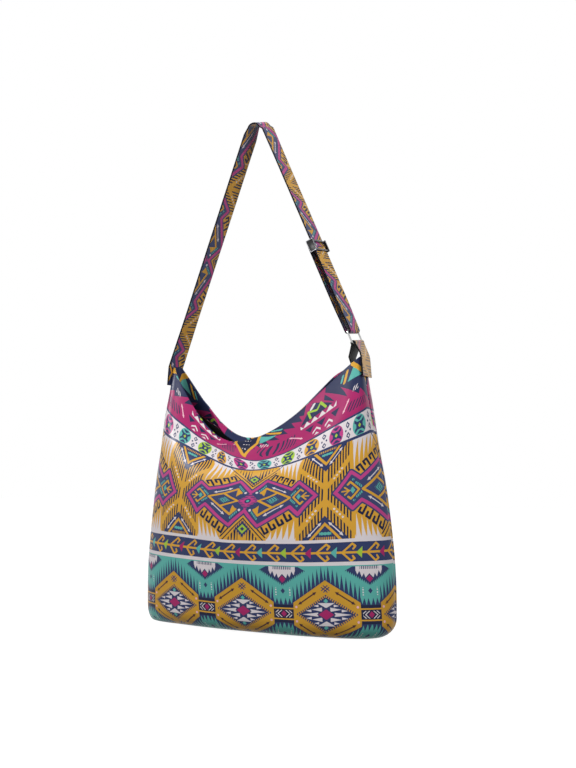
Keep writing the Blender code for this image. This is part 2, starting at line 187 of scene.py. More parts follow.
# Rows of one panel's skin, each with its height up the skin, negative under the base
def skinRows(side, across, topRow):
    radius, top = bag["baseRadius"], bag["seamHeight"]
    underEdge = radius * (1 - math.pi / 2)
    skin = []
    flatHalf = halfSection(0, radius, across)[1].max()
    for share in np.linspace(0, 1, bag["baseRows"] + 1)[:-1]:
        row = edgeRow(side, 0, radius, across)
        row[:, 1] *= share
        skin.append((row, underEdge - flatHalf * (1 - share)))
    for angle in np.linspace(0, math.pi / 2, bag["edgeRows"] + 1):
        inset = radius * (1 - math.sin(angle))
        row = edgeRow(side, radius * (1 - math.cos(angle)), inset, across)
        skin.append((row, underEdge + radius * angle))
    wallTop = top - 2 * bag["flopLength"]
    for height in np.linspace(radius, wallTop, bag["wallRows"] + 1)[1:]:
        skin.append((wallRow(side, height, 0, across), height))
    for height in np.linspace(wallTop, top, bag["rimRows"] + 1)[1:]:
        if height > topRow + 1e-6:
            break
        row = floppedRow(top - height, across) if side > 0 else wallRow(side, height, 0, across)
        skin.append((row, height))
    rows, heights = [np.array(part) for part in zip(*skin)]
    points = rows.copy()
    pinch = bag["seamPinch"] * ease(heights / radius)
    points[:, 0, 0] += pinch
    points[:, -1, 0] -= pinch
    points[:, :, 1] = side * np.maximum(np.abs(points[:, :, 1]), bag["seamGap"])
    if side > 0:  # the rolled rim may pass the seam's plane
        flopped = rows[:, :, 1] < 0
        points[flopped, 1] = rows[flopped, 1]
    return points, heights


def gridMesh(points, uvs):
    rows, columns = points.shape[:2]
    mesh = bmesh.new()
    bmesh.ops.create_grid(mesh, x_segments=columns - 1, y_segments=rows - 1, size=0.5)
    uvLayer = mesh.loops.layers.uv.new("print")
    place = {}
    for vertex in mesh.verts:
        column = round((vertex.co.x + 0.5) * (columns - 1))
        row = round((vertex.co.y + 0.5) * (rows - 1))
        place[vertex] = (row, column)
        vertex.co = points[row, column]
    for face in mesh.faces:
        for loop in face.loops:
            loop[uvLayer].uv = uvs[place[loop.vert]]
    bmesh.ops.remove_doubles(mesh, verts=mesh.verts, dist=weldDistance)
    return mesh


def toData(name, mesh):
    data = bpy.data.meshes.new(name)
    mesh.to_mesh(data)
    mesh.free()
    return data


def addObject(name, data):
    thing = bpy.data.objects.new(name, data)
    bpy.context.scene.collection.objects.link(thing)
    return thing


# The returned strap is given no body of its own
def placePiece(name, data, body, node):
    piece = addObject(name, data)
    if body:
        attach(piece, body)
    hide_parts(node)
    return piece


def addPiece(name, mesh, materials, body, node):
    data = toData(name, mesh)
    for finish in materials:
        data.materials.append(finish)
    for polygon in data.polygons:
        polygon.use_smooth = True
    return placePiece(name, data, body, node)


def thicken(piece, thickness, offset, innerFinish=0):
    wall = piece.modifiers.new("wall", "SOLIDIFY")
    wall.thickness = thickness
    wall.offset = offset
    wall.use_even_offset = True
    wall.use_rim = True
    wall.material_offset = innerFinish
    return wall


def roundEdges(piece, width):
    rounding = piece.modifiers.new("edges", "BEVEL")
    rounding.width = width
    rounding.segments = 3
    rounding.limit_method = "ANGLE"
    rounding.angle_limit = math.radians(50)


def faceOut(mesh, side):
    mesh.normal_update()
    if sum(face.normal.y * face.calc_area() for face in mesh.faces) * side < 0:
        bmesh.ops.reverse_faces(mesh, faces=mesh.faces)


# How far the print lies from where a flat panel would carry it, because the front hangs in folds:
# hundredths of a repeat sideways and tenths of a millimetre upwards, at places across in repeats
# and heights in mm
drape = {
    "across": (-1.6, -1.2, -0.85, -0.5, -0.2, 0.1, 0.4, 0.7, 1.0, 1.35, 1.8),
    "heights": (0, 75, 99, 125, 158, 190, 222, 262, 280, 300, 330, 365),
    "sideways": (
        (0, 2, 2, 2, 3, 3, 2, 2, 2, 0, 0),
        (1, 2, 2, 3, 3, 3, 2, 2, 2, 1, 1),
        (0, 2, 2, 3, 3, 3, 2, 2, 2, 1, 1),
        (-1, -4, -6, -4, -2, 1, 3, 1, 0, -1, 0),
        (-1, -3, -8, -6, -4, -3, 0, 1, 0, -2, 0),
        (-2, -8, -12, -13, -12, -12, -11, -1, -1, -2, 0),
        (-15, -16, -16, -15, -20, -17, -11, -1, -1, 0, 2),
        (-23, -23, -22, -25, -22, -18, -14, -6, -2, 3, 2),
        (-36, -30, -25, -25, -17, -13, -14, -8, -3, 4, 4),
        (-39, -36, -29, -26, -8, 2, -12, -6, -3, 5, 6),
        (-39, -38, -32, -27, 0, 6, 0, 0, 0, 4, 6),
        (-39, -38, -32, -27, 0, 6, 0, 0, 0, 4, 6),
    ),
    "upwards": (
        (-1, -15, -12, 0, 4, 5, 5, 2, -5, -5, -5),
        (-20, -11, -7, 1, 9, 10, 9, 3, -9, -21, -21),
        (-21, -14, -6, 5, 12, 13, 8, 4, -7, -18, -21),
        (-28, -22, -11, 12, 32, 28, 21, 10, -7, -25, -30),
        (-55, -47, 11, 24, 68, 87, 63, 30, 5, -58, -47),
        (-73, -38, 14, 20, 100, 108, 89, 25, 8, -41, -51),
        (-82, -83, -49, 4, 58, 79, 78, 31, 6, -38, -54),
        (-134, -146, -160, -108, 29, 133, 111, 50, -1, -15, -18),
        (-141, -165, -190, -131, 5, 141, 105, 38, -6, -15, -10),
        (-156, -187, -226, -185, -15, 113, 91, 26, -8, -16, -7),
        (-156, -208, -266, -253, -120, 40, 46, 28, 12, -18, -5),
        (-156, -221, -276, -272, -162, 0, 23, 29, 28, -1, 0),
    ),
}


def drapeShift(table, height, places):
    column = [float(smoothCurve(drape["heights"], values, height * 1000)) for values in zip(*table)]
    return smoothCurve(drape["across"], column, places)


# The print's own coordinates: repeats across and metres up
def printPlaces(side, heights, across):
    uvs = np.zeros((len(heights), len(across), 2))
    for i, height in enumerate(heights):
        section = max(height, 0.0)
        inset = bag["baseRadius"] if height < 0 else 0
        places = -side * across * halfSection(section, inset, across)[2] / 2 / printRepeat
        uvs[i, :, 0], uvs[i, :, 1] = places, height
        if side < 0:
            uvs[i, :, 0] += drapeShift(drape["sideways"], height, places) / 100
            uvs[i, :, 1] += drapeShift(drape["upwards"], height, places) / 10000
    return uvs


def addPanel(name, side, materials):
    across = np.linspace(-1, 1, bag["columns"] + 1)
    points, heights = skinRows(side, across, bag["seamHeight"])
    mesh = gridMesh(points, printPlaces(side, heights, across))
    faceOut(mesh, side)
    node = "front_panel" if side < 0 else "back_panel"
    panel = addPiece(name, mesh, materials, "bag", node)
    thicken(panel, bag["wall"], -1)
    roundEdges(panel, bag["edgeRounding"])
    sheetArea(points)


def sheetArea(points):
    a, b, c = points[:-1, :-1], points[1:, :-1], points[:-1, 1:]
    d = points[1:, 1:]
    first = np.linalg.norm(np.cross(b - a, c - a), axis=2).sum()
    return float(first + np.linalg.norm(np.cross(b - d, c - d), axis=2).sum()) / 2


# Lining: a loose black bag inside, sewn to the turned-in edge of the leather
lining = {"thickness": 0.0006, "inset": 0.0027, "top": 0.3315, "columns": 60}


def addLining(finish):
    across = np.linspace(-1, 1, lining["columns"] + 1)
    whole = bmesh.new()
    area = 0
    for side in (-1, 1):
        points, heights = skinRows(side, across, lining["top"])
        points[:, [0, -1], 1] = 0  # closed at the side seams and under the base
        points[0, :, 1] = 0
        area += sheetArea(points)
        uvs = np.stack(np.broadcast_arrays(across[None, :], heights[:, None]), axis=2)
        half = gridMesh(points, uvs)
        faceOut(half, side)
        data = toData("half", half)
        whole.from_mesh(data)
        bpy.data.meshes.remove(data)
    bmesh.ops.remove_doubles(whole, verts=whole.verts, dist=weldDistance)
    piece = addPiece("lining_bag", whole, [finish], "bag", "lining")
    wall = thicken(piece, lining["thickness"], -1 - 2 * lining["inset"] / lining["thickness"])
    wall.use_even_offset = False


# Strap, ring, tab and slider, with the frame's own sizes
strap = {
    "width": 0.040,
    "thickness": 0.0018,
    "apex": Vector((0.009, -0.045, 0.7110)),
    "apexTilt": math.radians(14),
    "apexRadius": 0.009,
    "sewnLength": 0.028,
    "sewnSteps": 7,
    "sewnEndTurn": 0.3,
    "leanPace": 4,
    "leftRun": (0.04, 0.96, 24),  # first and last share of the way up, and how many stations
    "runTwist": math.radians(6),
    "twistLength": 0.045,
    "twistSteps": 9,
    "runSteps": 49,
    "returnSteps": 29,
    "blendFoot": 0.004,
    "contactGap": 0.0003,
    "layerOffset": 0.0036,
    "endLength": 0.020,
    "endLayer": ((0.35, 0.5), (0.6, 1.0), (0.95, 1.0)),
    "arcSteps": 20,
    "edgeRounding": 0.0006,
    # repeats of the print at distances from the ring, with a join of the print under the slider
    "printPlaces": ((0, 0), (0.103, 1), (0.1249, 1.22), (0.1251, 1.915), (0.1324, 2), (0.218, 3))
    + ((0.311, 4), (0.424, 5), (0.5295, 6), (0.6355, 7), (0.742, 8)),
    "printJoin": (0.1251, 0.1249),
    "joinClearance": 0.001,
}
ring = {
    "wireRadius": 0.0012,
    "pitch": 0.0180,
    "sidePlay": 0.0010,
    "cornerRadius": 0.0035,
    "cornerSteps": 8,
    "wireResolution": 4,
    "rise": 0.0205,
    "setback": 0.0095,
    "twist": math.radians(3),
}
tab = {
    "width": 0.038,
    "innerWidth": 0.026,
    "thickness": 0.0020,
    "sewnLength": 0.026,
    "play": 0.0004,
    "wrap": (math.radians(-38), math.radians(208)),
    "shoulder": Vector((-0.0012, 0, 0.0050)),
    "innerPath": ((0.0145, 0.0), (0.0105, 0.012), (0.0040, 0.022), (0.0012, 0.0285)),
    "wall": 0.0014,
    "printStart": 0.13,
}
slider = {
    "place": 0.125,
    "barSpacing": 0.0130,
    "barRadius": 0.0012,
    "barSides": 24,
    "plateThickness": 0.0018,
    "plateOverhang": 0.0020,
    "plateRim": 0.0014,
    "windowBorder": 0.0001,
    "windowDepth": 0.0005,
    "edgeRounding": 0.0004,
    "sidePlay": 0.0010,
    "facePlay": 0.0004,
}


acrossBag = Vector((0, 1, 0))  # from the front panel to the back


# A place on a band: its middle, the way along it, the direction of its width, and outwards
class Station:
    def __init__(self, origin, along, across):
        self.origin = origin.copy()
        self.along = along.normalized()
        self.across = (across - self.along * across.dot(self.along)).normalized()
        self.out = self.across.cross(self.along)

    def turned(self, angle):
        across = math.cos(angle) * self.across + math.sin(angle) * self.out
        return Station(self.origin, self.along, across)

    def point(self, across, along, out):
        return self.origin + self.across * across + self.along * along + self.out * out

    def matrix(self):
        columns = Matrix((self.out, self.across, self.along)).transposed().to_4x4()
        return Matrix.Translation(self.origin) @ columns


def seamPoint(side, height, outwards):
    return Vector((side * (halfWidth(height) + outwards), 0, height))


def ringStation():
    origin = Vector((bag["topHalfWidth"] - ring["setback"], 0, bag["seamHeight"] + ring["rise"]))
    return Station(origin, strap["apex"] - origin, acrossBag).turned(ring["twist"])


def runStation():
    topBar = ringStation().point(0, ring["pitch"], 0)
    return Station(topBar, strap["apex"] - topBar, acrossBag).turned(strap["runTwist"])


def turnAt(distance):
    return (ring["twist"] - strap["runTwist"]) * (1 - float(ease(distance / strap["twistLength"])))


def layerStation(distance, out):
    place = runStation().turned(turnAt(distance))
    return place.point(0, distance, out), place.across


def roundedCorner(before, corner, after, radius, steps):
    back, ahead = (before - corner).normalized(), (after - corner).normalized()
    half = back.angle(ahead) / 2
    centre = corner + (back + ahead).normalized() * radius / math.sin(half)
    start = corner + back * radius / math.tan(half) - centre
    end = corner + ahead * radius / math.tan(half) - centre
    axis = start.cross(end).normalized()
    turns = [Matrix.Rotation(start.angle(end) * i / steps, 3, axis) for i in range(steps + 1)]
    return [centre + turn @ start for turn in turns]


# Up the side seam, where a band is sewn on
def sewnStations(side, length, lift):
    stations = []
    for share in np.linspace(0, 1, strap["sewnSteps"] + 1):
        point = seamPoint(side, bag["seamHeight"] - length * (1 - share), lift)
        stations.append((point, acrossBag))
    return stations


# Round a bar that lies at a distance out of a place
def turnStations(place, bar, radius, start, end):
    stations = []
    for angle in np.linspace(start, end, strap["arcSteps"] + 1):
        middle = place.point(0, radius * math.sin(angle), bar + radius * math.cos(angle))
        stations.append((middle, place.across))
    return stations


# Left sewn end, apex, right run and the turn round the ring's top bar
def strapStations():
    lift = strap["contactGap"] + strap["thickness"] / 2
    layer, turned = strap["layerOffset"], strap["sewnEndTurn"]
    stations = sewnStations(-1, strap["sewnLength"], lift)
    left = stations.pop()[0]
    run = runStation()
    foot = run.point(0, 0, layer)
    arc = roundedCorner(left, strap["apex"], foot, strap["apexRadius"], strap["arcSteps"])
    lean = (arc[0] - left).cross(arc[-1] - arc[0]).normalized()
    lean = lean if lean.y > 0 else -lean
    stations.append((left, acrossBag.lerp(lean, turned).normalized()))
    for share in np.linspace(*strap["leftRun"]):
        turn = turned + (1 - turned) * float(ease(share * strap["leanPace"]))
        stations.append((left.lerp(arc[0], share), acrossBag.lerp(lean, turn).normalized()))
    peak = Matrix.Rotation(strap["apexTilt"], 3, "X") @ lean
    stations += [(point, peak) for point in arc]
    runLength = (arc[-1] - run.origin).dot(run.along)
    top = run.point(0, runLength, layer)
    straightTop = runLength - strap["twistLength"]
    for share in np.linspace(0, 1, strap["twistSteps"] + 1)[1:-1]:
        across = peak.lerp(run.across, float(ease(share))).normalized()
        stations.append((top.lerp(run.point(0, straightTop, layer), share), across))
    join, clear = strap["printJoin"], strap["joinClearance"]
    distances = np.linspace(straightTop, 0, strap["runSteps"] + 1)
    apart = [distance for distance in distances if abs(distance - join[0]) > clear]
    for distance in sorted([*apart, *join], reverse=True):
        stations.append(layerStation(distance, layer))
    return stations + turnStations(run.turned(turnAt(0)), 0, layer, 0, -math.pi)[1:]


# Distances out of the run's middle line: front bars, middle bar, and the sewn end's outer layer
def sliderLayers():
    layer, thickness, gap = strap["layerOffset"], strap["thickness"], strap["contactGap"]
    frontBar = layer + thickness / 2 + slider["facePlay"] + slider["barRadius"]
    wrapOuter = layer - thickness - gap
    middleBar = wrapOuter - thickness / 2 - gap - slider["barRadius"]
    return frontBar, middleBar, wrapOuter


def sliderStation():
    run = runStation()
    return Station(run.point(0, slider["place"], 0), run.along, run.across)


def returnStations():
    _, middleBar, wrapOuter = sliderLayers()
    wrapInner = 2 * middleBar - wrapOuter
    gap, layer = strap["contactGap"], strap["layerOffset"]
    top = slider["place"] - strap["endLength"] - gap
    stations = []
    for share in np.linspace(0, 1, strap["returnSteps"] + 1):
        out = -layer + (wrapInner + layer) * share
        stations.append(layerStation(gap + (top - gap) * share, out))
    return stations


def strapEndStations():
    _, middleBar, wrapOuter = sliderLayers()
    place = sliderStation()
    radius = wrapOuter - middleBar
    sewn = middleBar - radius + strap["thickness"] + strap["contactGap"]
    stations = [(place.point(0, -strap["endLength"], middleBar - radius), place.across)]
    stations += turnStations(place, middleBar, radius, math.pi, 0)
    for drop, share in strap["endLayer"]:
        out = middleBar + radius + (sewn - middleBar - radius) * share
        stations.append((place.point(0, -strap["endLength"] * drop, out), place.across))
    return stations


def tabStations():
    lift = strap["contactGap"] + tab["thickness"] / 2
    place = ringStation()
    radius = ring["wireRadius"] + tab["play"] + tab["thickness"] / 2
    stations = sewnStations(1, tab["sewnLength"], lift)
    stations.append((seamPoint(1, bag["seamHeight"], lift) + tab["shoulder"], acrossBag))
    stations += turnStations(place, 0, radius, *tab["wrap"])
    outerCount = len(stations)
    innerWall = bag["topHalfWidth"] - tab["wall"] - lift
    for inwards, drop in tab["innerPath"]:
        stations.append((Vector((innerWall - inwards, 0, bag["seamHeight"] - drop)), acrossBag))
    return stations, [tab["width"]] * outerCount + [tab["innerWidth"]] * len(tab["innerPath"])


# Flat band with rounded edges through stations. Its UV holds the repeats of the print, from the
# distance before a station, and the share across; the band may get narrower
def addBand(name, stations, width, thickness, materials, body, node, before=0.0, places=None):
    widths = width if isinstance(width, list) else [width] * len(stations)
    shares = np.array([-0.5, -0.49, -0.44, -0.25, 0, 0.25, 0.44, 0.49, 0.5])
    steps = [0.0] + [(b - a).length for (a, _), (b, _) in zip(stations, stations[1:])]
    distance = np.abs(np.cumsum(steps) - before)
    repeats = np.interp(distance, *zip(*places)) if places else distance / printRepeat
    points, uvs = [], []
    for (middle, across), full, repeat in zip(stations, widths, repeats):
        points.append([list(middle + across * full * share) for share in shares])
        uvs.append([(repeat, 2 * share) for share in shares])
    mesh = gridMesh(np.array(points), np.array(uvs))
    band = addPiece(name, mesh, materials, body, node)
    thicken(band, thickness, 0, innerFinish=len(materials) - 1)
    roundEdges(band, strap["edgeRounding"])
    return band


def addRing(finish):
    place = ringStation()
    half = strap["width"] / 2 + ring["sidePlay"] + ring["wireRadius"]
    corner = ring["cornerRadius"]
    centres = [(half - corner, corner), (half - corner, ring["pitch"] - corner)]
    centres += [(corner - half, ring["pitch"] - corner), (corner - half, corner)]
    wire = bpy.data.curves.new("ring_wire", "CURVE")
    wire.dimensions = "3D"
    wire.bevel_depth = ring["wireRadius"]
    wire.bevel_resolution = ring["wireResolution"]
    outline = []
    for (y, z), start in zip(centres, (-90, 0, 90, 180)):
        for step in range(ring["cornerSteps"] + 1):
            angle = math.radians(start + 90 * step / ring["cornerSteps"])
            across, along = y + corner * math.cos(angle), z + corner * math.sin(angle)
            outline.append(place.point(across, along, 0))
    spline = wire.splines.new("POLY")
    spline.points.add(len(outline) - 1)
    for point, spot in zip(spline.points, outline):
        point.co = (*spot, 1)
    spline.use_cyclic_u = True
    spline.use_smooth = True
    wire.materials.append(finish)
    placePiece("ring_wire", wire, "ring", "ring")


# Two end plates, two front bars and, behind the strap, a middle bar; the plates' shallow windows
# are painted black, painted shade that stands for holes
def addSlider(finish, holeShade):
    place = sliderStation().matrix()
    frontBar, middleBar, _ = sliderLayers()
    half = strap["width"] / 2 + slider["sidePlay"] + slider["plateThickness"] / 2
    low = middleBar - slider["plateOverhang"]
    high = frontBar + slider["plateOverhang"]
    tall = slider["barSpacing"] + 2 * slider["plateOverhang"]
    size = Matrix.Diagonal((high - low, slider["plateThickness"], tall, 1))
    mesh = bmesh.new()
    for side in (-1, 1):
        middle = place @ Matrix.Translation(((low + high) / 2, side * half, 0))
        plate = set(bmesh.ops.create_cube(mesh, size=1, matrix=middle @ size)["verts"])
        mesh.normal_update()
        edges = [edge for edge in mesh.edges if edge.verts[0] in plate]
        faces = [face for face in mesh.faces if face.verts[0] in plate]
        windows = [face for face in faces if abs(face.normal.dot(place.col[1].xyz)) > 0.9]
        insets = ((slider["plateRim"], 0), (slider["windowBorder"], -slider["windowDepth"]))
        for border, depth in insets:
            bmesh.ops.inset_individual(mesh, faces=windows, thickness=border, depth=depth)
        # painted shade: the windows' inner faces take the black finish so that they read as holes
        for face in windows:
            face.material_index = 1
        bmesh.ops.bevel(
            mesh,
            geom=edges,
            offset=slider["edgeRounding"],
            segments=3,
            profile=0.5,
            affect="EDGES",
            material=-1,
        )
    step = slider["barSpacing"] / 2
    for along, out in ((step, frontBar), (-step, frontBar), (0, middleBar)):
        turned = Matrix.Translation((out, 0, along)) @ Matrix.Rotation(math.pi / 2, 4, "X")
        bmesh.ops.create_cone(
            mesh,
            cap_ends=True,
            segments=slider["barSides"],
            radius1=slider["barRadius"],
            radius2=slider["barRadius"],
            depth=2 * half,
            matrix=place @ turned,
        )
    addPiece("slider_buckle", mesh, [finish, holeShade], "slider", "slider")


# Both forms of an operator that adds one Math node, as in x - 1 and 1 - x
def bothForms(operation):
    return lambda a, b: maths(operation, a, b), lambda a, b: maths(operation, b, a)


# Shader maths as plain expressions: a Socket is one output of a node
class Socket:
    def __init__(self, shading, socket):
        self.shading = shading
        self.socket = socket

    def __abs__(self):
        return maths("ABSOLUTE", self)

    __add__, __radd__ = bothForms("ADD")
    __sub__, __rsub__ = bothForms("SUBTRACT")
    __mul__, __rmul__ = bothForms("MULTIPLY")
    __truediv__, __rtruediv__ = bothForms("DIVIDE")
    __and__, __rand__ = bothForms("MULTIPLY")  # both masks
    __or__, __ror__ = bothForms("MAXIMUM")  # either mask
    __lt__ = bothForms("LESS_THAN")[0]
    __gt__ = bothForms("GREATER_THAN")[0]


# Node maker for one material or world
class Shading:
    def __init__(self, owner):
        self.tree = owner.node_tree

    # A node of a type, its settings first, then its inputs by name or number
    def add(self, kind, settings=(), inputs=(), out=0):
        node = self.tree.nodes.new("ShaderNode" + kind)
        for name, value in dict(settings).items():
            if name == "stops":
                for place, level in value[1:-1]:
                    node.color_ramp.elements.new(place)
                for stop, (place, level) in zip(node.color_ramp.elements, value):
                    stop.position, stop.color = place, level
            else:
                setattr(node, name, value)
        for key, value in dict(inputs).items():
            self.put(value, node.inputs[key])
        return Socket(self, node.outputs[out])

    def put(self, value, socket):
        if isinstance(value, Socket):
            self.tree.links.new(value.socket, socket)
        else:
            socket.default_value = value

    def surface(self, shader):
        self.put(shader, self.tree.nodes["Material Output"].inputs["Surface"])


# The node maker that the sockets among some values belong to
def shadingOf(*values):
    return next(value.shading for value in values if isinstance(value, Socket))


# Math node on numbers and sockets
def maths(operation, *values, clamp=False):
    settings = {"operation": operation, "use_clamp": clamp}
    return shadingOf(*values).add("Math", settings, dict(enumerate(values)))


# A colour under further ones, each where its mask is 1. A name stands for an ink
def paint(colour, *layers):
    for above, mask in layers:
        shading = shadingOf(mask, colour)
        below, above = [ink(c) if isinstance(c, str) else c for c in (colour, above)]
        colour = shading.add("Mix", {"data_type": "RGBA"}, {0: mask, 6: below, 7: above}, out=2)
    return colour


# 0 in the middle of each tooth of a comb and 1 between two teeth
def teeth(x, pitch):
    return maths("PINGPONG", x, pitch / 2) * (2 / pitch)


# Under 1 inside a diamond
def diamond(x, y, halfWidth, halfHeight):
    across = maths("MULTIPLY", abs(x), 1 / halfWidth)
    return maths("MULTIPLY_ADD", abs(y), 1 / halfHeight, across)


# Squared distance from a run of straight lines
def lines(x, y, points):
    nearest = None
    for (ax, ay), (bx, by) in zip(points, points[1:]):
        dx, dy = bx - ax, by - ay
        fromX, fromY = x - ax, y - ay
        square = dx * dx + dy * dy
        share = maths("MULTIPLY", fromX, dx / square)
        share = maths("MULTIPLY_ADD", fromY, dy / square, share, clamp=True)
        offX = maths("MULTIPLY_ADD", share, -dx, fromX)
        offY = maths("MULTIPLY_ADD", share, -dy, fromY)
        far = maths("MULTIPLY_ADD", offX, offX, offY * offY)
        nearest = maths("MINIMUM", nearest, far) if nearest else far
    return nearest


def stroke(x, y, points, halfWidth):
    return lines(x, y, points) < halfWidth * halfWidth


def dot(x, y, place, radius):
    fromX, fromY = x - place[0], y - place[1]
    return maths("MULTIPLY_ADD", fromX, fromX, fromY * fromY) < radius * radius


# Line from a to b with an arrowhead at each end
def arrow(x, y, a, b, halfWidth, head):
    mask = stroke(x, y, [a, b], halfWidth)
    span = math.hypot(b[0] - a[0], b[1] - a[1])
    for (ax, ay), turn in ((a, 1), (b, -1)):
        dx, dy = turn * (b[0] - a[0]) / span * head, turn * (b[1] - a[1]) / span * head
        wings = [(ax + dx - w * dy, ay + dy + w * dx) for w in (0.75, -0.75)]
        mask = mask | patch(x, y, [(ax - dx * 0.7, ay - dy * 0.7), *wings])
    return mask


# Inside a shape with straight sides and no dents
def patch(x, y, corners):
    sides = list(zip(corners, corners[1:] + corners[:1]))
    turn = math.copysign(1, sum(ax * by - bx * ay for (ax, ay), (bx, by) in sides))
    outside = None
    for (ax, ay), (bx, by) in sides:
        length = math.hypot(bx - ax, by - ay) * turn
        nx, ny = (by - ay) / length, (ax - bx) / length
        far = maths("MULTIPLY_ADD", x, nx, -ax * nx - ay * ny)
        far = maths("MULTIPLY_ADD", y, ny, far)
        outside = maths("MAXIMUM", outside, far) if outside else far
    return outside < 0


# Any of several strokes, each its points and half width, and of several patches
def shapes(x, y, strokes, patches=()):
    mask = 0
    for *points, halfWidth in strokes:
        mask = mask | stroke(x, y, points, halfWidth)
    for corners in patches:
        mask = mask | patch(x, y, corners)
    return mask


# Inks of the print, as seen on the leather
inks = {
    "navy": (53, 63, 103),
    # navy lightened by painted sheen, inside and around the zigzag outline
    "slate": (64, 73, 113),
    "magenta": (171, 46, 106),
    "pink": (197, 72, 140),
    "ochre": (222, 167, 62),
    "gold": (212, 160, 58),
    "teal": (97, 182, 173),
    "lime": (166, 201, 70),
    "white": (228, 220, 224),
    "rose": (240, 190, 205),
    "brown": (74, 50, 54),
    "night": (34, 40, 66),
    "shade": (46, 53, 86),
    # painted sheen: a warm white that the tab's print is paled towards
    "haze": (240, 212, 184),
}


def ink(name):
    return (*[((c / 255 + 0.055) / 1.055) ** 2.4 for c in inks[name]], 1)


# Print of the leather, with all its lengths in mm: where its upper four rows start, from the stem
# row on, and the level that each row is drawn about
rowRepeat = printRepeat * 1000
rowStarts = (98, 126.6, 262, 296.4)
rowLevel = {"hexagon": 32.5, "stem": 110, "zigzag": 188.5, "oval": 279, "top": 300}


# Bottom row: ochre hexagons with a navy diamond, on teal with navy spikes
def hexagonRow(across, up):
    x = maths("PINGPONG", across, rowRepeat / 2)
    fromJoin = rowRepeat / 2 - x
    y = abs(up - rowLevel["hexagon"])
    edge = maths("MAXIMUM", 43.1 - x * 0.675, 11.5)
    tall = 9 + (x < 42.4) * 12.5
    # between two hexagons
    column = fromJoin < 13.3
    chevron = abs(maths("PINGPONG", fromJoin + y * 1.15 - 1.4, 2.2) - 2.2) < 0.8
    chevron = chevron & (fromJoin + y * 1.15 > 5) & (fromJoin < 11) & (y < 4.6)
    specks = (abs(fromJoin - 9.4) < 0.8) & (abs(y - 28.5) < 5) & (teeth(y, 3.4) < 0.55)
    colour = paint(
        "teal",
        ("navy", teeth(x - 4.46, 5.35) + (y - edge) / tall < 1),
        ("night", column & (y < 11.6)),
        ("ochre", column & (abs(y - 6.9) < 0.9)),
        ("white", chevron),
        ("magenta", diamond(fromJoin, y, 3.8, 4.2) < 1),
        ("navy", diamond(fromJoin, y - 29.2, 3, 3.6) < 1),
        ("white", specks),
    )
    # hexagon with a navy diamond, whose edge is cut into slanted teeth
    rising, falling = abs(x * 0.85 + (y - 32.2)), abs(x * 0.85 - (y - 32.2))
    lattice = (abs(rising - 2.1) < 0.85) | (abs(falling - 2.1) < 0.85)
    inside = diamond(x, y, 39.6, 25)
    fringe = teeth(x * 0.86 - y * 0.5, 2.9) < 0.52
    colour = paint(
        colour,
        ("gold", (y < 43.1 - x * 0.675) & (x < 42.4)),
        ("brown", arrow(x, y, (34.4, 13.2), (13.2, 27.4), 0.85, 2.9)),
        ("navy", lattice & (maths("MAXIMUM", rising, falling) < 6.8)),
        ("rose", dot(x, y, (38.6, 9.2), 1.5)),
        ("navy", (inside < 0.87) | ((inside < 1) & fringe)),
    )
    spikes = (0, 10.4, 31, 2.6), (6.3, 5.2, 18.5, 2.7), (4.7, 19, 26.5, 1.7), (10.9, 9.6, 16, 1.7)
    for level, start, end, half in spikes:
        taper = (end - x) * (half / (end - start))
        colour = paint(colour, ("white", (abs(y - level) < taper) & (x > start)))
    middle = diamond(x, y, 9.8, 6.6)
    # navy tongues that hang from the white line above, with white combs
    serration = teeth(fromJoin - 1.2, 2.4) * 3.4
    tongue = (up > 67.4 + fromJoin * 0.62 + serration) & (up < 92.6)
    ragged = 73.6 + fromJoin * 0.55 + teeth(fromJoin - 4.5, 5.55) * 6.2
    gem = diamond(fromJoin, up - 76.8, 4.4, 4.6)
    return paint(
        colour,
        ("white", (y < 14.6) & (y > 8.6) & (x * 0.58 < y - 8.2)),
        ("teal", diamond(x, y - 17, 3, 3) < 1),
        ("navy", middle < 1.22),
        ("magenta", middle < 1),
        ("navy", tongue & (up < 104.2 - fromJoin * 0.54)),
        ("white", (up > ragged) & (up < 92.6) & (fromJoin < 17.6)),
        ("navy", (abs(up - 91) < 2) & (fromJoin < 12.4) & (teeth(fromJoin, 2.5) < 0.5)),
        ("navy", gem < 1.45),
        ("magenta", gem < 1),
        ("white", up > 94),
    )


# Narrow navy row: a yellow stem with hooked branches and small arrowheads
def stemRow(across, up):
    y = abs(up - rowLevel["stem"])
    pitch = rowRepeat * 2 / 7
    fromStart = across + 136.4
    count = maths("FLOOR", fromStart / pitch)
    x = fromStart - count * pitch
    branch = lines(x, y, [(15.1, 0.6), (26.3, 10.6), (30.4, 7.6), (28, 4.4)]) < 1.5
    which = maths("FLOORED_MODULO", count, 3.0)
    head = paint("lime", ("magenta", which > 0.5), ("teal", which > 1.5))
    return paint(
        "navy",
        ("ochre", branch | (y < 1.35)),
        (head, (x < 7.8) & (y < x * 0.9)),
        ("white", abs(up - 110.6) > 12),
    )


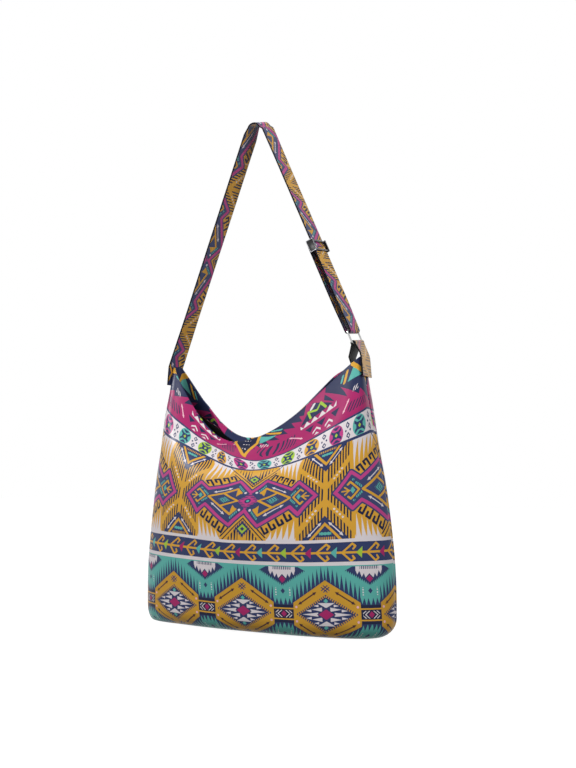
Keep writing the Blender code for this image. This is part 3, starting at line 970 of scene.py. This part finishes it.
# Wide yellow row: a magenta outline with hooks, diamonds and arrows, and crossings between
def zigzagRow(across, up):
    x = maths("PINGPONG", across, rowRepeat)
    fromCrossing = rowRepeat - x
    y = abs(up - rowLevel["zigzag"])
    upper = up > rowLevel["zigzag"]
    fromEdge = 61.5 + upper * 12 - y
    # pale streaks that run in from the row's edges
    saw = maths("POWER", maths("FRACT", (x - 37) / 7.3), 1.3)
    reach = (8 + (x - 37) * 0.52) * (1 + upper * 0.7)
    # navy combs beside the arms of the crossing
    arm = 10 + fromCrossing * 1.2 - y
    bars = (teeth(fromCrossing, 3.9) < 0.5) & (abs(fromCrossing - 18) < 15.2)
    along = maths("MULTIPLY_ADD", y - 10, 0.77, fromCrossing * 0.64)
    dash = (abs(arm) < 1.7) & (teeth(along - 17.5, 5.4) < 0.5) & (abs(along - 26) < 11)
    # navy triangle at each end of the crossing
    rise = fromEdge / (31 + upper * 5)
    crown = abs(fromEdge - 7.6) < 2.2 - teeth(fromCrossing, 4) * 0.9
    roots = (fromEdge < 3.2) & (fromCrossing < 12) & (teeth(fromCrossing, 2.6) > 0.5)
    # lime diamond above and below the middle, between dark lines
    lime = diamond(x, y - 44.6, 7.4, 7.4)
    fan = (y > 30 + x * 1.25) & (y > 46)
    slant = y - x * 1.03
    sides = (abs(slant - 28.4) < 1.2) | ((abs(slant - 21) < 1.4) & (abs(y - 50) < 8))
    colour = paint(
        "ochre",
        ("white", (fromEdge < reach * saw + 1.2) & (abs(x - 55.8) < 19)),
        ("night", bars & (abs(arm) > 5.2)),
        ("white", dash),
        ("navy", fromCrossing / 29 + rise < 1),
        ("ochre", abs(fromCrossing / 19.5 + rise / 0.7 - 0.93) < 0.11),
        ("white", arrow(fromCrossing, rise * 31, (5.6, 21), (20.6, 5), 0.65, 2.9)),
        ("teal", crown & (fromCrossing < 7.4)),
        ("ochre", roots),
        ("night", fan & (teeth(x - 2, 5) + (y - 46) / 40 < 0.75) & (x > 7)),
        ("navy", (lime < 2 - teeth(x - 1.2, 3.2) * 0.6) & (slant > 29)),
        ("night", sides),
        ("lime", lime < 1),
        ("navy", lime < 0.46),
    )
    # magenta outline, with navy inside and around that is lightened there as painted sheen
    path = [(-1, 16), (22.3, 40), (65.6, 15), (78, 26.5), (100, -0.8)]
    stops = [(max(a, 0) / rowRepeat, (*[max(b, 0) / 50] * 3, 1)) for a, b in path]
    stops.append((1.0, (0, 0, 0, 1)))
    top = x.shading.add("ValToRGB", {"stops": stops}, {0: x / rowRepeat}) * 50
    outline = lines(x, y, path)
    # dark combs of hooks outside the outline
    side = (x - 22.3) * 0.866 - (y - 40) * 0.5
    off = (x - 22.3) * 0.5 + (y - 40) * 0.866
    cell = maths("FRACT", (side - 2) / 11.6) * 11.6
    hook = stroke(cell, off, [(2.8, 6), (2.8, 16.6), (8.6, 16.6), (8.6, 11)], 1.6)
    # heart of the row
    heart = (diamond(x, y, 15.5, 15.5) < 1) & (teeth(y - 1.9, 3.8) < 0.5)
    # yellow lines with a hooked arm, teal dashes, white arrow and a yellow fish bone
    sides = ((14.8, 0), (39.8, 13.7), 1.6), ((63.3, 0), (21.5, 24), (13.8, 15.8), 1.75)
    yellow = shapes(x, y, sides, [[(12.6, 16.4), (21.5, 24.6), (19.6, 8.8)]])
    flake = (diamond(x - 35.7, y, 9.5, 7.2) < 1) & (teeth(x + y * 1.3, 4.6) < 0.56)
    white = arrow(x, y, (31.5, 24.5), (54.2, 11.7), 0.75, 3.2)
    teal = shapes(x, y, [((11.4, 19.4), (20.6, 29.4), 1.4), ((65.2, 3.8), (72, 10), 1.6)])
    teal = teal | dot(x, y, (75.8, 15), 1.7)
    teal = teal & (teeth(x + y * 0.3, 2.9) < 0.66)
    bones = [((81.6, 0), (91, 0), 1), ((82, 0), (87.6, 5.4), 1)]
    fish = shapes(x, y, [((68.9, 0), (80, 12.4), (83.4, 9), 1.35), *bones])
    return paint(
        colour,
        ("slate", (y < top) | (outline < 21)),
        ("pink", outline < 5.2),
        ("night", hook & (abs(side - 25.2) < 23.2) & (off > 4)),
        ("pink", heart | (diamond(x, y, 11, 9) < 1)),
        ("navy", dot(x, y, (0, 0), 4.4)),
        ("teal", dot(x, y, (0, 0), 2.2)),
        ("ochre", yellow),
        ("teal", flake),
        ("white", white | dot(x, y, (8, 16.4), 1.9)),
        ("teal", teal | (diamond(x - 77.4, y, 3.4, 5.2) < 1)),
        ("ochre", fish),
    )


# White row with slanted ovals
def ovalRow(across, up):
    y = up - rowLevel["oval"]
    place = (across / rowRepeat - 1.083) * 3 + 0.5
    count = maths("FLOOR", place)
    x = (place - count - 0.5) * (rowRepeat / 3) + y * 0.16
    oval = maths("MULTIPLY_ADD", x / 11, x / 11, (y / 14.6) * (y / 14.6))
    which = maths("FLOORED_MODULO", count, 4.0)
    flat, tall = abs(x), abs(y)
    star = maths("MAXIMUM", flat, tall) < 5.4
    star = star | ((abs(flat - tall * 1.15) < 2.7) & (flat < 8))
    star = star | ((abs(tall - 9.5) < 2.3) & (flat < (tall - 6.2) * 1.05))
    fill = paint(
        "pink",
        ("teal", which > 0.5),
        ("lime", which > 1.5),
        ("ochre", which > 2.5),
        ("navy", star),
        ("lime", diamond(x, y, 2.4, 3.2) < 1),
    )
    between = 18.6 - flat
    glyph = abs(diamond(between - 0.4, abs(tall - 7.6), 2.8, 5.2) - 0.72) < 0.26
    glyph = glyph | (diamond(between - 3.4, tall, 1.5, 2.2) < 1)
    return paint(
        "white",
        (fill, oval < 1),
        ("navy", glyph & (oval > 1.1)),
        ("navy", abs(y - 0.8) > 13.8),
    )


# Top row: magenta, with a yellow V, navy and teal patches, arrows and chevrons
def topRow(across, up):
    fromTip = across + 13.4
    x, y = abs(fromTip), up - rowLevel["top"]
    slashes = (teeth(x - y * 0.55, 5.6) < 0.42) & (y > 3) & (y < 24)
    slashes = slashes & ((abs(x - 47) < 22) | (abs(x - 166) < 17)) & (y < 26 - abs(x - 47) * 0.1)
    jag = teeth(x + y * 0.9, 13) * 17
    navy = (y > 23 + jag + (x - 24) * 0.3) & (x < 82)
    navy = navy | ((y > 20 + jag * ((162 - x) * 0.018 + 0.45) + (162 - x) * 0.36) & (x > 110))
    fangs = [[(m - 6.5, 19), (m + 6.5, 19), (m + 1, 8.5)] for m in (91.4, 108.2, 128.2)]
    navy = navy | shapes(x, y, (), [[(79, 32), (124, 33), (93, 60)], *fangs])
    teal = shapes(
        x,
        y,
        [((38, 63), (51, 52), 1.4), ((136, 59), (134.5, 52), 1.5)],
        [[(21, 58), (46.8, 45), (24.5, 36)], [(152, 60), (166, 41), (144.5, 45)]],
    )
    arms = [((31, 63), (50.7, 45), 1.7), ((142.4, 60), (139.4, 48), 2)]
    arms.append(((149, 65), (164, 48), (186, 30), 2.2))
    zigzag = [(93.1, 35), (88.1, 49), (101.5, 41), (105.4, 49), (114.3, 35)]
    white = (y > 24.6) & (y < 33.4 - teeth(x - 3.3, 10.6) * 8.4) & (abs(x - 104) < 25.6)
    white = white | stroke(x, y, [(92.5, 51), (95, 55)], 2.4)
    for middle in (101.5, 119.3):
        chevron = abs(y - 10.4 + abs(x - middle) * 1.05) < 1.7
        white = white | (chevron & (abs(x - middle) < 5.8))
        foot = [(middle - 3.4, -0.6), (middle + 3.4, -0.6), (middle, 3.4)]
        white = white | patch(x, y, foot)
    dashes = (teeth(x - y * 0.5, 4) < 0.42) & (abs(y - 29.5) < 3)
    dashes = dashes & ((abs(x - 32.5) < 6) | (abs(x - 158) < 4) | (x < 6))
    arrows = arrow(x, y, (60.2, 21.8), (78.9, 6.9), 1, 2.6)
    arrows = arrows | arrow(x, y, (148.8, 19.8), (141.6, 6.7), 1, 2.6)
    # yellow V at the lowest point, flatter to the left
    vee = maths("MAXIMUM", fromTip, fromTip * -0.58)
    inner = (teeth(y - 18.6, 13) < 0.17) & (teeth(fromTip, 6.4) < 0.5) & (vee < 6.5)
    return paint(
        "magenta",
        ("shade", slashes),
        ("shade", navy),
        ("teal", teal),
        ("ochre", shapes(x, y, arms)),
        ("lime", stroke(x, y, zigzag, 1.4)),
        ("white", white | dashes),
        ("rose", arrows),
        ("night", (y > 5 + vee * 1.65) & (vee < 20)),
        ("white", inner & (y > 12 + vee * 1.65)),
        ("ochre", stroke(vee, y, [(0, 3.6), (20, 36.6), (20, 90)], 2.5)),
    )


leather = {
    "roughness": 0.33,
    "specular": 0.1,
    "grain": 1400,  # cells per metre
    "grainDepth": 0.000008,
    "crease": 38,
    "creaseDepth": 0.0007,
}
# The bands show part of the zigzag row, from its level in mm on the panel, and have dark edges
bandPrint = {
    "level": 211.6,
    "halfWidth": 16.5,
    "edgeStart": 0.955,
    "edgeColour": (0.006, 0.006, 0.007, 1),
    "specular": 0.05,
    # how far the tab's print is paled by painted sheen
    "tabPaintedSheen": 0.38,
}


# Satin coat of the leather over a colour
def leatherShader(nodes, colour, normal, specular):
    return nodes.add(
        "BsdfPrincipled",
        inputs={
            "Base Color": colour,
            "Roughness": leather["roughness"],
            "Specular IOR Level": specular,
            "Normal": normal,
        },
    )


# Fine pebbled grain and soft creases
def leatherNormal(nodes):
    place = nodes.add("TexCoord", out="Object")
    grain = nodes.add("TexVoronoi", inputs={"Vector": place, "Scale": leather["grain"]})
    crease = {"Vector": place, "Scale": leather["crease"], "Detail": 2.0}
    crease = nodes.add("TexNoise", inputs=crease)
    height = grain * leather["grainDepth"] + crease * leather["creaseDepth"]
    return nodes.add("Bump", inputs={"Height": height, "Distance": 1.0, "Strength": 1.0})


# A new material, its node maker, and the print's coordinates across and up
def printFinish(name):
    finish = bpy.data.materials.new(name)
    finish.use_nodes = True
    finish.node_tree.nodes.remove(finish.node_tree.nodes["Principled BSDF"])
    nodes = Shading(finish)
    split = nodes.add("SeparateXYZ", inputs={0: nodes.add("UVMap", {"uv_map": "print"})})
    return finish, nodes, split * rowRepeat, Socket(nodes, split.socket.node.outputs["Y"])


def panelFinish(name):
    finish, nodes, across, up = printFinish(name)
    up = up * 1000
    normal = leatherNormal(nodes)
    surface = leatherShader(nodes, hexagonRow(across, up), normal, leather["specular"])
    for row, start in zip((stemRow, zigzagRow, ovalRow, topRow), rowStarts):
        shader = leatherShader(nodes, row(across, up), normal, leather["specular"])
        surface = nodes.add("MixShader", inputs={0: up > start, 1: surface, 2: shader})
    nodes.surface(surface)
    return finish


def bandFinish(name, haze=0.0):
    finish, nodes, across, share = printFinish(name)
    colour = zigzagRow(across, bandPrint["level"] + share * bandPrint["halfWidth"])
    # painted sheen: the tab's colour paled towards a warm white
    if haze:
        colour = paint(colour, ("haze", haze))
    colour = paint(colour, (bandPrint["edgeColour"], abs(share) > bandPrint["edgeStart"]))
    nodes.surface(leatherShader(nodes, colour, leatherNormal(nodes), bandPrint["specular"]))
    return finish


def plainFinish(name, colour, roughness, metallic=0.0):
    finish = bpy.data.materials.new(name)
    finish.use_nodes = True
    shader = finish.node_tree.nodes["Principled BSDF"]
    shader.inputs["Base Color"].default_value = (*colour, 1)
    shader.inputs["Roughness"].default_value = roughness
    shader.inputs["Metallic"].default_value = metallic
    return finish


# Studio: pale floor that shows white to the camera and keeps the bag's shadow, and soft lamps
studio = {
    "floorSize": 6.0,
    "floorDrop": 0.0005,
    "floorColour": (0.15, 0.15, 0.15),
    "floorRoughness": 0.9,
    "floorGlow": 0.95,
    "lamps": (
        # place, aim, size, watts, lights the colours, shows in the gloss
        ((-0.5, -1.2, 1.1), (0, 0, 0.28), 0.65, 14, True, True),
        ((1.1, -0.75, 1.15), (0, 0, 0.55), 0.9, 12, True, False),
        ((-0.9, 1.6, 1.3), (0, 0, 0.3), 1.4, 12, True, False),
        ((-1.5, -0.9, 0.95), (-0.1, -0.07, 0.21), 0.5, 40, False, True),
    ),
    "worldLight": 0.2,
    "cameraPlace": (0.4845, -1.0740, 0.2278),
    "cameraTurn": 24.28,
    "cameraRise": 5.18,
    "lens": 39.375,
    "shift": 0.0289,
}


# 1 where the camera, or a mirror or glass, sees a thing
def seenDirectly(nodes):
    seen = nodes.add("LightPath", out="Is Camera Ray")
    rays = seen.socket.node.outputs
    for name in ("Is Glossy Ray", "Is Transmission Ray"):
        seen = seen | Socket(nodes, rays[name])
    return seen


def addFloor():
    mesh = bmesh.new()
    bmesh.ops.create_grid(mesh, x_segments=1, y_segments=1, size=studio["floorSize"] / 2)
    bmesh.ops.translate(mesh, verts=mesh.verts, vec=(0, 0, cadBox[0][2] - studio["floorDrop"]))
    data = toData("floor", mesh)
    finish = plainFinish("studio_floor", studio["floorColour"], studio["floorRoughness"])
    nodes = Shading(finish)
    matt = Socket(nodes, finish.node_tree.nodes["Principled BSDF"].outputs[0])
    glow = nodes.add("Emission", inputs={"Strength": studio["floorGlow"]})
    lit = nodes.add("AddShader", inputs={0: matt, 1: glow})
    nodes.surface(nodes.add("MixShader", inputs={0: seenDirectly(nodes), 1: matt, 2: lit}))
    data.materials.append(finish)
    addObject("studio_floor", data)


def addLamps():
    for index, (place, aim, size, watts, lights, shines) in enumerate(studio["lamps"]):
        lamp = bpy.data.lights.new(f"soft_lamp_{index + 1}", "AREA")
        lamp.shape = "DISK"
        lamp.size = size
        lamp.energy = watts
        holder = addObject(lamp.name, lamp)
        holder.visible_diffuse = lights
        holder.visible_glossy = shines
        holder.location = place
        holder.rotation_euler = (Vector(aim) - Vector(place)).to_track_quat("-Z", "Y").to_euler()


def addCamera():
    camera = bpy.data.cameras.new("camera")
    camera.sensor_fit = "VERTICAL"
    camera.sensor_height = 36
    camera.lens = studio["lens"]
    camera.shift_x = studio["shift"]
    holder = addObject("camera", camera)
    holder.location = studio["cameraPlace"]
    rise, turn = studio["cameraRise"], studio["cameraTurn"]
    holder.rotation_euler = (math.radians(90 + rise), 0, math.radians(turn))
    bpy.context.scene.camera = holder


def setWorld():
    world = bpy.data.worlds.new("studio")
    bpy.context.scene.world = world
    world.use_nodes = True
    nodes = Shading(world)
    back = world.node_tree.nodes["Background"]
    back.inputs["Color"].default_value = (1, 1, 1, 1)
    strength = seenDirectly(nodes) * (1 - studio["worldLight"]) + studio["worldLight"]
    nodes.put(strength, back.inputs["Strength"])
    bpy.context.scene.view_settings.view_transform = "Standard"


cloth = plainFinish("black_lining", (0.012, 0.012, 0.014), 0.85)
steel = plainFinish("nickel", (0.46, 0.46, 0.46), 0.3, 1.0)
# painted shade: the slider's nickel, darker than the ring's
shadedNickel = plainFinish("shaded_nickel", (0.16, 0.16, 0.17), 0.35, 1.0)
# black back of the tab, and also the painted shade in the slider's windows
backingAndHoleShade = plainFinish("black_backing_and_hole_shade", (0.010, 0.010, 0.011), 0.6)
panelLeather = panelFinish("printed_leather")
strapLeather = bandFinish("printed_strap")
tabLeather = bandFinish("printed_tab", bandPrint["tabPaintedSheen"])
print("finishes made")

addPanel("front_leather", -1, [panelLeather])
addPanel("back_leather", 1, [panelLeather])
print("bag panels made")
addLining(cloth)
stations = strapStations()
straight = stations[: -strap["arcSteps"]]
toRing = sum((b - a).length for (a, _), (b, _) in zip(straight, straight[1:]))
wide, thick = strap["width"], strap["thickness"]
places = strap["printPlaces"]
addBand("shoulder_strap", stations, wide, thick, [strapLeather], "bag", "strap", toRing, places)
tabThick, tabSkins = tab["thickness"], [tabLeather, backingAndHoleShade]
addBand("tab_leather", *tabStations(), tabThick, tabSkins, "bag", "ring_tab", tab["printStart"])
returned = addBand(
    "returned_strap", returnStations(), wide, thick, [strapLeather], None, "strap_return"
)
run = runStation()
foot = run.point(0, strap["blendFoot"], 0)
head = run.point(0, slider["place"] - strap["endLength"], 0)
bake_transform(returned)
addBand("folded_end", strapEndStations(), wide, thick, [strapLeather], "slider", "strap_end")
print("strap made")
addRing(steel)
addSlider(shadedNickel, backingAndHoleShade)
print("ring and slider made")

addFloor()
addLamps()
addCamera()
setWorld()
